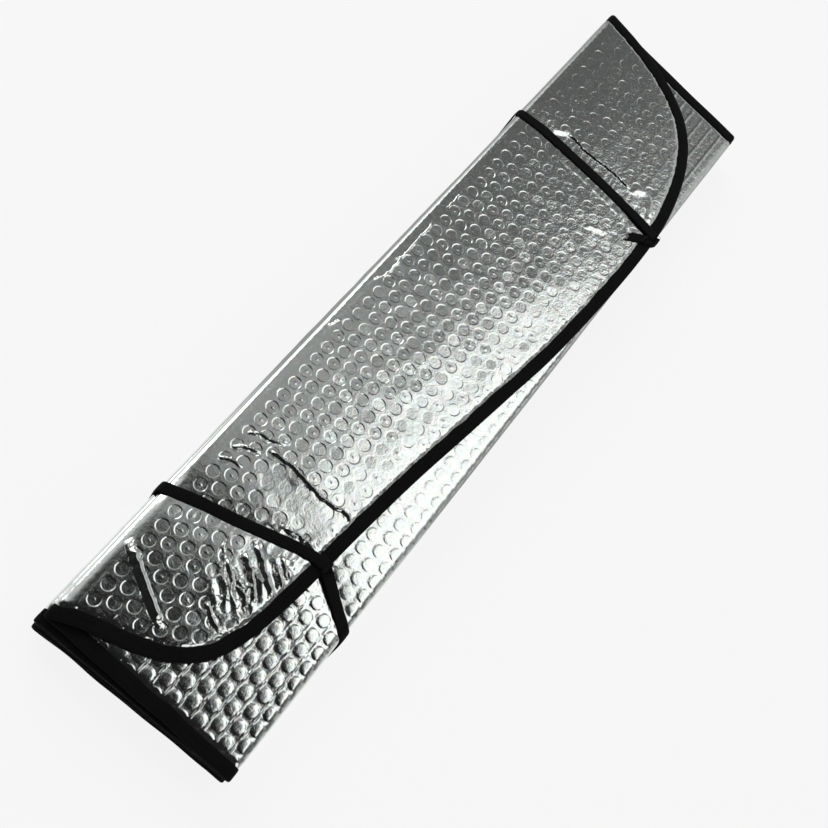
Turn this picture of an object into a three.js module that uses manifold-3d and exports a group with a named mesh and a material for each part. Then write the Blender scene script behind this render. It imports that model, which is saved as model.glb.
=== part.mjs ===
// Car windscreen sunshade of aluminised bubble foil, folded up into its flat pack: one long
// sheet pleated into ten panels, bound all round with fabric tape, and held shut by two elastic
// straps sewn to the free edge of the top panel. Millimetres, +Z up, the pack lies on its back.
// The pack's length runs along Y, its folds lie at -X and +X, and the sheet's free edge on
// the top panel is the slanting one with large rounded corners.
import * as THREE from "three";
import { mergeVertices } from "three/addons/utils/BufferGeometryUtils.js";
import Module from "manifold-3d";

const wasm = await Module();
wasm.setup();

// The pleated pack
const PANELS = 10; // an even number, so both free edges end on the same side
const PANEL_WIDTH = 132; // across the pack, from fold to fold
const PANEL_LENGTH = 600;
const SHEET_THICKNESS = 2.2; // squeezed bubble foil
const LAYER_GAP = 1.2; // air between two panels

// The bound edge
const TAPE_WIDTH = 8.4; // visible on each face
const TAPE_THICKNESS = 0.3;
const TAPE_SINK = 0.05; // how far the tape lies below the foil's face
const CLEARANCE = 0.3; // between pieces that lie on each other

// The bubbles
const BUBBLE_PITCH = 10.7; // along a row, which runs with the pack's length
const BUBBLE_HEIGHT = 1.15;
const BUBBLE_VALLEY = 0.08; // height of the seams between bubbles
const FOLD_MARGIN = 9.4; // plain strip of foil beside the left fold
const CREASE_REACH = 5; // bubbles this close to a crease are dented

// The elastic straps
const STRAP_WIDTH = 7;
const LANE_MARGIN = 0.9; // flattened foil beside a strap
const LAP_GAP = 0.15; // between a strap's two lapped ends
const TACK_LENGTH = 7;
const TACK_WIDTH = 2.2;
const TACK_HEIGHT = 0.4;
const TACK_STITCHES = 7;

// Everything below follows from the sizes above
const PITCH = SHEET_THICKNESS + LAYER_GAP;
const HALF = SHEET_THICKNESS / 2;
const FOLD_RADIUS = PITCH / 2;
const FOLD_REACH = HALF + FOLD_RADIUS; // from the pack's side to where a panel turns flat
const FLAT_RUN = PANEL_WIDTH - 2 * FOLD_REACH;
const FOLD_STEPS = 6;
const PERIOD = FLAT_RUN + Math.PI * FOLD_RADIUS;
const TAPE_OUTER = HALF - TAPE_SINK;
const TAPE_INNER = TAPE_OUTER - TAPE_THICKNESS;
const RIM_HALF = TAPE_INNER - CLEARANCE;
const STRAP_THICKNESS = PITCH - 2 * TAPE_OUTER - 2 * CLEARANCE;
const LIFT = PITCH - HALF - TAPE_OUTER - CLEARANCE; // room for a strap under the lowest tape
const TOP = HALF + (PANELS - 1) * PITCH; // middle of the top panel
const CELL = BUBBLE_PITCH / Math.sqrt(3); // corner radius of a bubble's hexagon

// How far each fold stands out of line, at the near end and at the far end
const FOLD_DRIFT = [
  [1.5, -0.2], [0, -0.5], [-0.9, 0.3], [0.3, 0.3], [0.4, -0.5],
  [-0.5, 0.2], [-0.3, 0.4], [0.3, -0.4], [0.5, 0.1],
];
// Where the sheet's two long edges meet each fold: near end, and past the panel length
const NEAR_EDGE = [1.8, 0.2, -2.2, 1.6, -1.4, 2.1, -2.5, 1.2, 1.8];
const FAR_EDGE = [1.3, -1.6, 3.2, -0.4, 2.6, -1.2, 3.4, 0.6, 1.3];

// Middle of the tape along a panel's free edge, as fractions of panel width and length
const FREE_EDGE = [
  [0.0212, 0.0100], [0.0606, 0.0145], [0.1136, 0.0198], [0.1894, 0.0250], [0.2727, 0.0305],
  [0.3788, 0.0382], [0.4697, 0.0468], [0.5530, 0.0610], [0.6100, 0.0770], [0.6470, 0.0960],
  [0.6780, 0.1230], [0.7045, 0.1640], [0.7212, 0.2030], [0.7394, 0.2500], [0.7803, 0.3330],
  [0.8348, 0.4170], [0.8879, 0.5000], [0.9152, 0.5420], [0.9356, 0.5900], [0.9530, 0.6500],
  [0.9629, 0.7100], [0.9636, 0.7560], [0.9590, 0.7870], [0.9470, 0.8120], [0.9242, 0.8400],
  [0.8920, 0.8680], [0.8447, 0.8960], [0.7803, 0.9220], [0.6932, 0.9440], [0.5909, 0.9600],
  [0.4773, 0.9725], [0.3409, 0.9830], [0.1894, 0.9905], [0.0212, 0.9953],
];

// The creases that dent the top panel, each from one point to another, in the same fractions
const CREASES = [
  [0.26, 0.813, 0.71, 0.815], [0.22, 0.258, 0.70, 0.258], [0.43, 0.213, 0.69, 0.214],
  [0.48, 0.176, 0.64, 0.127], [0.10, 0.096, 0.43, 0.074], [0.12, 0.250, 0.25, 0.270],
];

const nearPlace = (u) => u * PANEL_WIDTH;
const longPlace = (v) => v * PANEL_LENGTH;
const panelHeight = (panel) => TOP - (panel - 1) * PITCH;
const between = (pair, y) => pair[0] + (pair[1] - pair[0]) * (y / PANEL_LENGTH);
const drift = (fold, y) => (fold < 1 || fold > PANELS - 1 ? 0 : between(FOLD_DRIFT[fold - 1], y));
const leftEnd = (fold, y) => FOLD_REACH + drift(fold, y);
const rightEnd = (fold, y) => PANEL_WIDTH - FOLD_REACH + drift(fold, y);

// A point of the unfolded sheet, s along it, y across it and n above its front face's side of
// the middle plane, taken to its place in the pleated pack.
function folded(s, y, n) {
  const index = Math.min(PANELS - 1, Math.max(0, Math.floor(s / PERIOD + 1e-9)));
  const panel = index + 1;
  const along = s - index * PERIOD;
  const odd = panel % 2 === 1;
  if (along <= FLAT_RUN + 1e-6 || panel === PANELS) {
    const left = leftEnd(odd ? panel : panel - 1, y);
    const right = rightEnd(odd ? panel - 1 : panel, y);
    const share = along / FLAT_RUN;
    const x = odd ? right + (left - right) * share : left + (right - left) * share;
    return [x, y, panelHeight(panel) + (odd ? n : -n)];
  }
  const angle = (along - FLAT_RUN) / FOLD_RADIUS;
  const middle = panelHeight(panel) - FOLD_RADIUS;
  const reach = odd ? FOLD_RADIUS + n : FOLD_RADIUS - n;
  const centre = odd ? leftEnd(panel, y) : rightEnd(panel, y);
  const side = odd ? -1 : 1;
  return [centre + side * reach * Math.sin(angle), y, middle + reach * Math.cos(angle)];
}

// The sheet's outline as a loop of stations, counter-clockwise on the unfolded sheet. Each one
// has its place on the tape's middle line and the direction that points into the sheet.
function freeEdge(last, crossings) {
  let points = FREE_EDGE.map(([u, v]) => [nearPlace(u), longPlace(v)]);
  for (const y of crossings) {
    const next = points.findIndex((p) => p[1] > y);
    const [a, b] = [points[next - 1], points[next]];
    const share = (y - a[1]) / (b[1] - a[1]);
    if (share > 0.02 && share < 0.98) points.splice(next, 0, [a[0] + (b[0] - a[0]) * share, y]);
  }
  const start = last ? (PANELS - 1) * PERIOD - FOLD_REACH : PANEL_WIDTH - FOLD_REACH;
  points = points.map(([x, y]) => ({ s: last ? start + x : start - x, y }));
  if (!last) points.reverse();
  points.forEach((p, i) => {
    const a = points[Math.max(0, i - 1)];
    const b = points[Math.min(points.length - 1, i + 1)];
    const size = Math.hypot(b.s - a.s, b.y - a.y);
    p.in = [-(b.y - a.y) / size, (b.s - a.s) / size];
    if (i === 0) p.in = [0, last ? 1 : -1];
    if (i === points.length - 1) p.in = [0, last ? -1 : 1];
  });
  return points;
}

function foldStations(edge, base, direction) {
  const stations = [];
  for (let fold = 1; fold < PANELS; fold++) {
    for (let step = 0; step <= FOLD_STEPS; step++) {
      const s = (fold - 1) * PERIOD + FLAT_RUN + (step / FOLD_STEPS) * Math.PI * FOLD_RADIUS;
      const y = base + edge[fold - 1] + (direction * TAPE_WIDTH) / 2;
      stations.push({ s, y, in: [0, direction] });
    }
  }
  return stations;
}

// The straps' runs in plan: along the top, and where they turn at the pack's four long corners
const NEAR_STRAP = {
  top: [[0.0, 0.160], [0.152, 0.1692], [0.303, 0.1792], [0.4545, 0.190], [0.606, 0.200],
    [0.682, 0.2038], [0.765, 0.2052]],
  tail: [[0.700, 0.2085], [0.735, 0.2050], [0.770, 0.2005]],
  rightTop: 0.1710, rightBottom: 0.1375, leftBottom: 0.1440, leftTop: 0.1590,
};
const FAR_STRAP = {
  top: [[0.0, 0.7808], [0.152, 0.7842], [0.303, 0.7850], [0.4545, 0.7850], [0.606, 0.7842],
    [0.758, 0.7825], [0.900, 0.7798], [0.980, 0.7768]],
  tail: [[0.868, 0.7535], [0.915, 0.7610], [0.962, 0.7680]],
  rightTop: 0.7740, rightBottom: 0.8085, leftBottom: 0.7767, leftTop: 0.7800,
};
const tackAt = (strap) => {
  const [a, b] = [strap.tail[1], strap.tail[2]];
  return [nearPlace((a[0] + b[0]) / 2), longPlace((a[1] + b[1]) / 2)];
};

// Where a strap crosses the lowest panel's tape, the tape is lifted clear of it
function lowerCrossing(strap) {
  const line = (x) => longPlace(strap.leftBottom) +
    (longPlace(strap.rightBottom) - longPlace(strap.leftBottom)) * (x / PANEL_WIDTH);
  const found = FREE_EDGE.slice(1).map(([u, v], i) => {
    const [x0, y0] = [nearPlace(FREE_EDGE[i][0]), longPlace(FREE_EDGE[i][1])];
    const [x1, y1] = [nearPlace(u), longPlace(v)];
    const [a, b] = [y0 - line(x0), y1 - line(x1)];
    return a <= 0 && b > 0 ? y0 + ((y1 - y0) * a) / (a - b) : null;
  });
  return found.find((y) => y !== null);
}
const CROSSINGS = [NEAR_STRAP, FAR_STRAP].map(lowerCrossing);
const LIFT_FLAT = STRAP_WIDTH / 2 + 2.4;
const LIFT_END = LIFT_FLAT + 7;
const liftAt = (y) => Math.max(...CROSSINGS.map((c) => {
  const off = Math.abs(y - c);
  return LIFT * Math.min(1, Math.max(0, (LIFT_END - off) / (LIFT_END - LIFT_FLAT)));
}));
const liftStops = CROSSINGS.flatMap((c) => [c - LIFT_END, c - LIFT_FLAT, c + LIFT_FLAT, c + LIFT_END]);

const topEdge = freeEdge(false, []);
const lowEdge = freeEdge(true, liftStops);
lowEdge.forEach((p) => (p.lift = liftAt(p.y)));
const nearRun = foldStations(NEAR_EDGE, 0, 1);
const farRun = foldStations(FAR_EDGE, PANEL_LENGTH, -1);
const LOOP = [...topEdge.slice(1, -1), ...nearRun, ...lowEdge.slice(1, -1), ...farRun.reverse()];

// A loop station moved depth into the sheet from the tape's outer edge and n off its middle
function place(station, depth, n) {
  const inward = depth - TAPE_WIDTH / 2;
  const s = station.s + station.in[0] * inward;
  const y = station.y + station.in[1] * inward;
  const [x, yy, z] = folded(s, y, n);
  return [x, yy, z + (station.lift || 0)];
}

// Collects points and triangles, and turns them outward as one closed body
class Surface {
  constructor() {
    this.points = [];
    this.faces = [];
  }

  add(point) {
    this.points.push(point);
    return this.points.length - 1;
  }

  // A band of faces between two closed or open rows of points
  band(a, b, closed = true) {
    const count = closed ? a.length : a.length - 1;
    for (let i = 0; i < count; i++) {
      const j = (i + 1) % a.length;
      this.faces.push([a[j], a[i], b[i]], [a[j], b[i], b[j]]);
    }
  }

  geometry() {
    let volume = 0;
    const at = new THREE.Vector3();
    const corner = (i) => new THREE.Vector3(...this.points[i]);
    for (const [a, b, c] of this.faces) volume += corner(a).dot(at.crossVectors(corner(b), corner(c)));
    const faces = volume < 0 ? this.faces.map(([a, b, c]) => [a, c, b]) : this.faces;
    const geometry = new THREE.BufferGeometry();
    geometry.setAttribute("position", new THREE.Float32BufferAttribute(this.points.flat(), 3));
    geometry.setIndex(faces.flat());
    return geometry;
  }
}

function solid(geometry) {
  const bare = geometry.clone();
  bare.deleteAttribute("normal");
  bare.deleteAttribute("uv");
  const merged = mergeVertices(bare, 1e-4);
  return new wasm.Manifold(new wasm.Mesh({
    numProp: 3,
    vertProperties: new Float32Array(merged.attributes.position.array),
    triVerts: new Uint32Array(merged.index.array),
  }));
}

function meshGeometry(body) {
  const mesh = body.getMesh();
  const geometry = new THREE.BufferGeometry();
  geometry.setAttribute("position", new THREE.BufferAttribute(mesh.vertProperties, 3));
  geometry.setIndex(new THREE.BufferAttribute(mesh.triVerts, 1));
  return geometry;
}

function prism(points, bottom, top) {
  const shape = new THREE.Shape(points.map(([x, y]) => new THREE.Vector2(x, y)));
  const geometry = new THREE.ExtrudeGeometry(shape, { depth: top - bottom, bevelEnabled: false });
  geometry.translate(0, 0, bottom);
  return solid(geometry);
}

// The plain sheet: full thickness inside, a thin rim where the tape grips it
function plainSheet() {
  const sheet = new Surface();
  const rings = [
    [TAPE_WIDTH + 0.9, HALF], [TAPE_WIDTH + 0.5, RIM_HALF], [TAPE_THICKNESS + CLEARANCE, RIM_HALF],
    [TAPE_THICKNESS + CLEARANCE, -RIM_HALF], [TAPE_WIDTH + 0.5, -RIM_HALF], [TAPE_WIDTH + 0.9, -HALF],
  ].map(([depth, n], ring) => LOOP.map((station) => {
    const inner = ring === 0 || ring === 5;
    return sheet.add(place(inner ? { ...station, lift: 0 } : station, depth, n));
  }));
  for (let i = 1; i < rings.length; i++) sheet.band(rings[i - 1], rings[i]);

  const topCount = topEdge.length - 2;
  const runCount = nearRun.length;
  const lowStart = topCount + runCount;
  const farStart = lowStart + lowEdge.length - 2;
  const flat = (i) => {
    const station = LOOP[i];
    const inward = TAPE_WIDTH / 2 + 0.9;
    return new THREE.Vector2(station.s + station.in[0] * inward, station.y + station.in[1] * inward);
  };
  const fill = (loop) => {
    const contour = loop.map(flat);
    for (const face of THREE.ShapeUtils.triangulateShape(contour, [])) {
      const [a, b, c] = face.map((i) => contour[i]);
      const turn = (b.x - a.x) * (c.y - a.y) - (b.y - a.y) * (c.x - a.x);
      const ordered = turn > 0 ? face : [face[0], face[2], face[1]];
      const [i, j, k] = ordered.map((at) => loop[at]);
      sheet.faces.push([rings[0][i], rings[0][j], rings[0][k]]);
      sheet.faces.push([rings[5][i], rings[5][k], rings[5][j]]);
    }
  };
  const count = (from, size) => Array.from({ length: size }, (_, i) => from + i);
  fill([...count(0, topCount), topCount, LOOP.length - 1]);
  for (let i = 0; i < runCount - 1; i++) {
    const far = LOOP.length - 1 - i;
    fill([topCount + i, topCount + i + 1, far - 1, far]);
  }
  fill([lowStart - 1, ...count(lowStart, lowEdge.length - 2), farStart]);
  return solid(sheet.geometry());
}

// A slab of bubbles: every cell is a hexagon whose middle stands up from its corners
function bubbleSlab(bounds, base, firstColumn, rowShift, dent) {
  const top = new Surface();
  const known = new Map();
  const point = (x, y, z) => {
    const key = `${Math.round(x * 50)},${Math.round(y * 50)}`;
    if (!known.has(key)) known.set(key, top.add([x, y, z]));
    return known.get(key);
  };
  const [left, right, near, far] = bounds;
  const columnStep = 1.5 * CELL;
  const first = Math.floor((left - firstColumn) / columnStep);
  const last = Math.ceil((right - firstColumn) / columnStep);
  for (let column = first; column <= last; column++) {
    const shift = rowShift + (Math.abs(column) % 2) * (BUBBLE_PITCH / 2);
    const rows = Math.ceil((far - near) / BUBBLE_PITCH) + 1;
    for (let row = 0; row < rows; row++) {
      const x = firstColumn + column * columnStep;
      const y = near + shift + row * BUBBLE_PITCH;
      const middle = point(x, y, base + BUBBLE_VALLEY + BUBBLE_HEIGHT * dent(x, y));
      const corners = Array.from({ length: 6 }, (_, i) => {
        const angle = (i * Math.PI) / 3;
        return point(x + CELL * Math.cos(angle), y + CELL * Math.sin(angle), base + BUBBLE_VALLEY);
      });
      corners.forEach((corner, i) => top.faces.push([middle, corner, corners[(i + 1) % 6]]));
    }
  }
  // Close it below: the same cells flat and turned over, and walls along the open edges
  const under = base - HALF / 2;
  const copies = top.points.map(([x, y]) => [x, y, under]);
  const offset = top.points.length;
  const edges = new Map();
  for (const [a, b, c] of top.faces) for (const [i, j] of [[a, b], [b, c], [c, a]]) edges.set(`${i}_${j}`, [i, j]);
  const faces = [...top.faces, ...top.faces.map(([a, b, c]) => [a + offset, c + offset, b + offset])];
  for (const [i, j] of edges.values()) {
    if (edges.has(`${j}_${i}`)) continue;
    faces.push([j, i, i + offset], [j, i + offset, j + offset]);
  }
  top.points.push(...copies);
  top.faces = faces;
  return solid(top.geometry());
}

// How much of its height a bubble keeps beside the nearest crease
function creaseDent(x, y) {
  let least = Infinity;
  for (const [u0, v0, u1, v1] of CREASES) {
    const [ax, ay, bx, by] = [nearPlace(u0), longPlace(v0), nearPlace(u1), longPlace(v1)];
    const share = ((x - ax) * (bx - ax) + (y - ay) * (by - ay)) / ((bx - ax) ** 2 + (by - ay) ** 2);
    const t = Math.min(1, Math.max(0, share));
    least = Math.min(least, Math.hypot(x - ax - t * (bx - ax), y - ay - t * (by - ay)));
  }
  return 0.35 + 0.65 * Math.min(1, least / CREASE_REACH);
}

// A strip of the plan along a polyline, reaching half its width to each side
function strip(points, half) {
  const side = (sign) => points.map((p, i) => {
    const a = points[Math.max(0, i - 1)];
    const b = points[Math.min(points.length - 1, i + 1)];
    const size = Math.hypot(b[0] - a[0], b[1] - a[1]);
    return [p[0] - (sign * half * (b[1] - a[1])) / size, p[1] + (sign * half * (b[0] - a[0])) / size];
  });
  return [...side(-1), ...side(1).reverse()];
}

function planOf(fractions) {
  return fractions.map(([u, v]) => [nearPlace(u), longPlace(v)]);
}

function outlinePlan(depth) {
  return topEdge.map((station) => {
    const inward = depth - TAPE_WIDTH / 2;
    return [PANEL_WIDTH - FOLD_REACH - station.s - station.in[0] * inward,
      station.y + station.in[1] * inward];
  });
}

function foilSheet() {
  const laneHalf = STRAP_WIDTH / 2 + LANE_MARGIN;
  const lanes = [NEAR_STRAP, FAR_STRAP].flatMap((strap) => {
    const over = planOf(strap.top);
    over.unshift([over[0][0] - 12, over[0][1] - 12 * ((over[1][1] - over[0][1]) / (over[1][0] - over[0][0]))]);
    const across = planOf([...strap.tail, [1, strap.rightTop]]);
    for (const [at, next] of [[0, 1], [across.length - 1, across.length - 2]]) {
      const [a, b] = [across[at], across[next]];
      const size = Math.hypot(a[0] - b[0], a[1] - b[1]) / STRAP_WIDTH;
      across[at] = [a[0] + (a[0] - b[0]) / size, a[1] + (a[1] - b[1]) / size];
    }
    return [over, across].map((line) => prism(strip(line, laneHalf), 0, TOP + PITCH));
  });

  const topFace = TOP + HALF;
  const above = [topFace - PITCH, topFace + PITCH];
  const inside = prism(outlinePlan(TAPE_WIDTH + 1.3), ...above);
  const foldStrip = prism([[-20, -20], [FOLD_MARGIN, -20], [FOLD_MARGIN, PANEL_LENGTH + 20],
    [-20, PANEL_LENGTH + 20]], ...above);
  let upper = bubbleSlab([0, PANEL_WIDTH, -10, PANEL_LENGTH + 10], topFace, FOLD_MARGIN + CELL * 0.73,
    BUBBLE_PITCH * 0.3, creaseDent).intersect(inside).subtract(foldStrip);

  const secondFace = topFace - PITCH;
  const strap = [secondFace - PITCH, secondFace + PITCH];
  const nearLine = TAPE_WIDTH + 1.2 + Math.max(NEAR_EDGE[0], NEAR_EDGE[1]);
  const farLine = PANEL_LENGTH - TAPE_WIDTH - 1.2 + Math.min(FAR_EDGE[0], FAR_EDGE[1]);
  const edgeRight = PANEL_WIDTH - FOLD_REACH - 1;
  const stripArea = prism([[HALF + FOLD_REACH, nearLine], [edgeRight, nearLine], [edgeRight, farLine],
    [HALF + FOLD_REACH, farLine]], ...strap);
  const covered = outlinePlan(-1.2);
  covered.unshift([-20, covered[0][1]]);
  covered.push([-20, covered[covered.length - 1][1]]);
  let lower = bubbleSlab([0, PANEL_WIDTH, -10, PANEL_LENGTH + 10], secondFace, edgeRight - CELL * 0.45,
    BUBBLE_PITCH * 0.8, () => 1).intersect(stripArea).subtract(prism(covered, ...strap));
  for (const lane of lanes) {
    upper = upper.subtract(lane);
    lower = lower.subtract(lane);
  }

  let sheet = plainSheet().add(upper).add(lower);
  // The straps pass below the pack in shallow channels pressed into its lowest panel
  for (const run of [NEAR_STRAP, FAR_STRAP]) {
    const [a, b] = [[0, longPlace(run.leftBottom)], [PANEL_WIDTH, longPlace(run.rightBottom)]];
    const slope = (b[1] - a[1]) / PANEL_WIDTH;
    const channel = strip([[-20, a[1] - 20 * slope], [PANEL_WIDTH + 20, b[1] + 20 * slope]], laneHalf);
    sheet = sheet.subtract(prism(channel, -PITCH, STRAP_THICKNESS + CLEARANCE + 0.02));
  }
  return meshGeometry(sheet);
}

// The tape: a channel of fabric folded over the sheet's edge, one closed ring
function edgeBinding() {
  const tape = new Surface();
  const rings = [
    [TAPE_WIDTH, TAPE_OUTER], [0, TAPE_OUTER], [0, -TAPE_OUTER], [TAPE_WIDTH, -TAPE_OUTER],
    [TAPE_WIDTH, -TAPE_INNER], [TAPE_THICKNESS, -TAPE_INNER], [TAPE_THICKNESS, TAPE_INNER],
    [TAPE_WIDTH, TAPE_INNER],
  ].map(([depth, n]) => LOOP.map((station) => tape.add(place(station, depth, n))));
  rings.forEach((ring, i) => tape.band(ring, rings[(i + 1) % rings.length]));
  return tape.geometry();
}

// A strap: an open ribbon that starts at the top panel's free edge, goes down the right side,
// under the pack and up the left side, and comes back over the top onto its own start.
function strapRibbon(strap) {
  const onFoil = HALF + CLEARANCE + STRAP_THICKNESS / 2;
  const level = TOP + onFoil;
  const lapped = level + STRAP_THICKNESS + LAP_GAP;
  const second = level - PITCH;
  const corner = FOLD_REACH + CLEARANCE + STRAP_THICKNESS / 2;
  const spread = (folds, y) => folds.map((fold) => drift(fold, y));
  const folds = Array.from({ length: PANELS - 1 }, (_, i) => i + 1);
  const rightSide = (y) => PANEL_WIDTH + CLEARANCE + STRAP_THICKNESS / 2 +
    Math.max(0, ...spread(folds.filter((fold) => fold % 2 === 0), y));
  const leftSide = (y) => -CLEARANCE - STRAP_THICKNESS / 2 +
    Math.min(0, ...spread(folds.filter((fold) => fold % 2 === 1), y));
  const path = [];
  const tail = planOf(strap.tail);
  tail.forEach(([x, y]) => path.push([x, y, level]));
  const nearLevel = tail[2][0] > 0.85 * PANEL_WIDTH;
  const rightTop = longPlace(strap.rightTop);
  const rightBottom = longPlace(strap.rightBottom);
  const right = rightSide(rightTop);
  if (!nearLevel) path.push([right - corner - 1, rightTop + 1, second]);
  const arc = (cx, cz, from, to, y0, y1) => {
    for (let i = 0; i <= 3; i++) {
      const angle = ((from + ((to - from) * i) / 3) * Math.PI) / 180;
      path.push([cx + corner * Math.cos(angle), y0 + ((y1 - y0) * i) / 3, cz + corner * Math.sin(angle)]);
    }
  };
  const bend = (rightBottom - rightTop) / 10;
  if (nearLevel) {
    const brink = Math.max(...outlinePlan(0).map(([x]) => x)) + CLEARANCE;
    path.push([brink + CLEARANCE, rightTop, level]);
    path.push([brink + 2 * STRAP_THICKNESS, rightTop + bend / 2, level - STRAP_THICKNESS]);
    path.push([brink + 2.6 * STRAP_THICKNESS, rightTop + bend, level - 3 * STRAP_THICKNESS]);
  } else {
    arc(right - corner, second - corner, 90, 0, rightTop, rightTop + bend);
  }
  const floorLevel = STRAP_THICKNESS / 2;
  const turn = panelHeight(PANELS - 1) + FOLD_RADIUS;
  if (nearLevel) {
    path.push([right + 0.35, rightBottom - bend, turn]);
    path.push([right - 2.05, rightBottom, floorLevel]);
  } else {
    arc(right - corner, turn, 0, -90, rightBottom - bend, rightBottom);
    path.push([nearPlace(0.74), rightBottom + 0.26 * (longPlace(strap.leftBottom) - rightBottom), floorLevel]);
  }
  const leftBottom = longPlace(strap.leftBottom);
  const leftTop = longPlace(strap.leftTop);
  const left = leftSide(leftTop);
  const sink = Math.asin((FOLD_REACH - floorLevel) / corner) * (180 / Math.PI);
  path.push([left + corner - corner * Math.cos((sink * Math.PI) / 180) + 1.2, leftBottom, floorLevel]);
  arc(left + corner, FOLD_REACH, 180 + sink, 180, leftBottom, leftBottom + 1);
  arc(left + corner, level - corner, 180, 90, leftTop - 1, leftTop);
  const over = planOf(strap.top).slice(1);
  const rise = tail[0][0] - STRAP_WIDTH * 0.75;
  over.forEach(([x, y], i) => {
    const before = i > 0 ? over[i - 1] : [0, leftTop];
    const at = (px) => before[1] + ((y - before[1]) * (px - before[0])) / (x - before[0]);
    for (const [px, pz] of [[rise - STRAP_WIDTH, level], [rise, lapped]]) {
      if (before[0] < px && px < x) path.push([px, at(px), pz]);
    }
    path.push([x, y, x > rise ? lapped : Math.min(lapped, level)]);
  });

  const ribbon = new Surface();
  const points = path.map((p) => new THREE.Vector3(...p));
  const rows = points.map((p, i) => {
    const before = points[Math.max(0, i - 1)];
    const after = points[Math.min(points.length - 1, i + 1)];
    const along = new THREE.Vector3().subVectors(after, before).normalize();
    const level = Math.hypot(along.x, along.z);
    const out = [-along.z / level, along.x / level];
    const reach = STRAP_WIDTH / 2 / level;
    const half = STRAP_THICKNESS / 2;
    return [[1, 1], [-1, 1], [-1, -1], [1, -1]].map(([w, t]) =>
      ribbon.add([p.x + t * half * out[0], p.y + w * reach, p.z + t * half * out[1]]));
  });
  for (let i = 1; i < rows.length; i++) ribbon.band(rows[i - 1], rows[i]);
  const [a, z] = [rows[0], rows[rows.length - 1]];
  ribbon.faces.push([a[0], a[1], a[2]], [a[0], a[2], a[3]]);
  ribbon.faces.push([z[0], z[2], z[1]], [z[0], z[3], z[2]]);
  return ribbon.geometry();
}

// Zigzag stitching that holds a strap's lapped ends to the tape
function strapTack(strap) {
  const [x, y] = tackAt(strap);
  const base = TOP + HALF + CLEARANCE + 2 * STRAP_THICKNESS + LAP_GAP + CLEARANCE;
  const step = TACK_LENGTH / TACK_STITCHES;
  const path = Array.from({ length: TACK_STITCHES + 1 }, (_, i) =>
    [(i - TACK_STITCHES / 2) * step, (i % 2 ? 0.5 : -0.5) * (TACK_WIDTH - step)]);
  const body = solid(prismGeometry(strip(path, step * 0.42), base, base + TACK_HEIGHT));
  const geometry = meshGeometry(body);
  geometry.rotateZ(Math.PI / 2.15);
  geometry.translate(x, y, 0);
  return geometry;
}

function prismGeometry(points, bottom, top) {
  const shape = new THREE.Shape(points.map(([x, y]) => new THREE.Vector2(x, y)));
  const geometry = new THREE.ExtrudeGeometry(shape, { depth: top - bottom, bevelEnabled: false });
  geometry.translate(0, 0, bottom);
  return geometry;
}

const foil = new THREE.MeshStandardMaterial({ color: 0xb9bcbc, metalness: 1, roughness: 0.22, flatShading: true });
const tapeFabric = new THREE.MeshStandardMaterial({ color: 0x0d0d0e, metalness: 0, roughness: 0.9, flatShading: true });
const elastic = new THREE.MeshStandardMaterial({ color: 0x101011, metalness: 0, roughness: 0.85, flatShading: true });
const thread = new THREE.MeshStandardMaterial({ color: 0x161617, metalness: 0, roughness: 0.7, flatShading: true });

const pack = new THREE.Group();
const pieces = [
  ["foil_sheet", foilSheet(), foil],
  ["edge_binding", edgeBinding(), tapeFabric],
  ["strap_near", strapRibbon(NEAR_STRAP), elastic],
  ["strap_far", strapRibbon(FAR_STRAP), elastic],
  ["strap_tack_near", strapTack(NEAR_STRAP), thread.clone()],
  ["strap_tack_far", strapTack(FAR_STRAP), thread.clone()],
];
for (const [name, geometry, material] of pieces) {
  const mesh = new THREE.Mesh(geometry, material.clone());
  mesh.name = name;
  pack.add(mesh);
}

// The origin is the middle of the pack's footprint, on the surface it lies on
const bounds = new THREE.Box3().setFromObject(pack);
const middle = bounds.getCenter(new THREE.Vector3());
pack.position.set(-middle.x, -middle.y, -bounds.min.z);
pack.updateMatrixWorld(true);

const group = new THREE.Group();
group.name = "folded_sunshade";
group.add(pack);

export default group;
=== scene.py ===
# A car windscreen sunshade folded up into its flat pack. Sizes below are in millimetres in the
# pack's plan: x across from the left folds, y along from the near end, z up from the surface
# it lies on. Each mesh turns them into metres about the middle of the pack as it is made.
import math
import bpy
import numpy as np
from mathutils import Matrix, Vector
from mathutils.geometry import delaunay_2d_cdt


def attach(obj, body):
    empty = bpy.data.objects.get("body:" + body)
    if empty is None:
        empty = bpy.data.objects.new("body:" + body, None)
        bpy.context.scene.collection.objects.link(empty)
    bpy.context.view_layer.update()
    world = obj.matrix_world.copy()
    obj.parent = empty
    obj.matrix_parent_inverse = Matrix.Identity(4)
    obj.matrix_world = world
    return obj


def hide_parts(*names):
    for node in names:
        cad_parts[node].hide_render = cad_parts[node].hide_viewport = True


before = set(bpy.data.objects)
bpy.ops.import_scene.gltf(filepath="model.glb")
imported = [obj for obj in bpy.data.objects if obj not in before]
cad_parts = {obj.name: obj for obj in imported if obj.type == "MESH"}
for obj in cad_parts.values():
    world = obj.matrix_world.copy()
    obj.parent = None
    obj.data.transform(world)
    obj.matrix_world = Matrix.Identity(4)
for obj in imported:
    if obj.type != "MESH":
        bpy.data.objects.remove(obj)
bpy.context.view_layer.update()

# Camera: above the near end and a little to the left, rolled so that the pack lies
# diagonally in the frame. MIDDLE is the middle of the pack's plan, the origin of the part.
MIDDLE = (66.08, 300.45)
EYE = (38.52, -119.44, 682.9)
view_data = bpy.data.cameras.new("view")
view_data.sensor_width = 36
view_data.lens = 52.957
view = bpy.data.objects.new("view", view_data)
bpy.context.collection.objects.link(view)
across, down = Vector((0.74139, 0.56834, 0.35683)), Vector((0.66869, -0.67047, -0.32145))
ahead = Vector((0.05655, 0.47692, -0.87712))
turn = Matrix((across, -down, -ahead)).transposed()
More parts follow.
